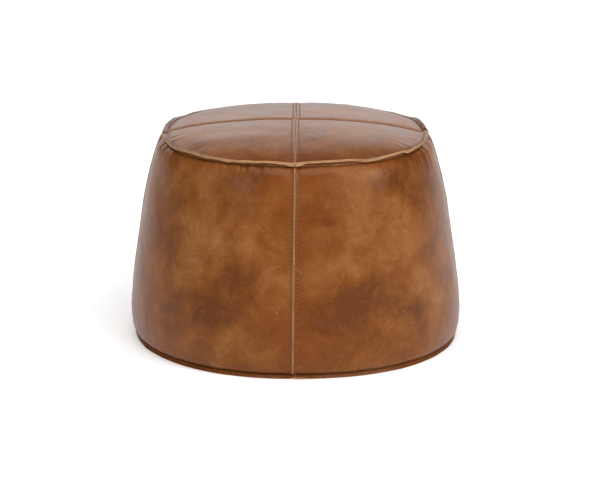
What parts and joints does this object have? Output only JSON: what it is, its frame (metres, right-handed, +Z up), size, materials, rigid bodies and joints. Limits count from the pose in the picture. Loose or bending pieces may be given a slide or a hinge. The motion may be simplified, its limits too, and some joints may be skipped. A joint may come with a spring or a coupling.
{
  "type": "leather pouf",
  "caption": "Low tapered drum-shaped leather pouf with a softly domed top, raw-edged seams standing out at the rim and the base, and a zip across the underside.",
  "frame": {"origin": "on the floor, under the middle of the base lip", "axes": "+Z up through the middle of the dome, -Y out through the front seam, +X along the zip to its closed end"},
  "size_m": [0.533, 0.533, 0.3523],
  "materials": {
    "leather": "satin",
    "backing_leather": "matte",
    "fibre_wadding": "matte",
    "foam": "matte",
    "zip_tape": "matte",
    "zip_teeth": "gloss",
    "zip_metal": "satin"
  },
  "bodies": {
    "cover": {"top_panel_rear_right": "leather", "top_panel_rear_left": "leather", "top_panel_front_left": "leather", "top_panel_front_right": "leather", "side_panel_rear_right": "leather", "side_panel_rear_left": "leather", "side_panel_front_left": "leather", "side_panel_front_right": "leather", "base_panel_rear": "leather", "base_panel_front": "leather", "side_seam_strip_right": "backing_leather", "side_seam_strip_rear": "backing_leather", "side_seam_strip_left": "backing_leather", "side_seam_strip_front": "backing_leather", "top_seam_strip_across": "backing_leather", "top_seam_strip_rear": "backing_leather", "top_seam_strip_front": "backing_leather", "fibre_sleeve": "fibre_wadding", "foam_core": "foam", "foam_crown": "foam", "zip_tape_rear": "zip_tape", "zip_tape_front": "zip_tape", "zip_teeth_rear": "zip_teeth", "zip_teeth_front": "zip_teeth", "zip_top_stop_rear": "zip_metal", "zip_top_stop_front": "zip_metal", "zip_bottom_stop": "zip_metal"},
    "slider": {"zip_slider": "zip_metal"},
    "pull_tab": {"zip_pull_tab": "zip_metal"}
  },
  "joints": [
    {"name": "zip_open", "type": "slide", "parent": "cover", "child": "slider", "axis": [-1, 0, 0], "range_m": [0, 0.36], "deforming": ["zip_teeth_rear", "zip_teeth_front"]},
    {"name": "pull_tab_swing", "type": "hinge", "parent": "slider", "child": "pull_tab", "pos_m": [0.18, 0, 0.0041], "axis": [0, -1, 0], "range_deg": [-5, 168]}
  ]
}
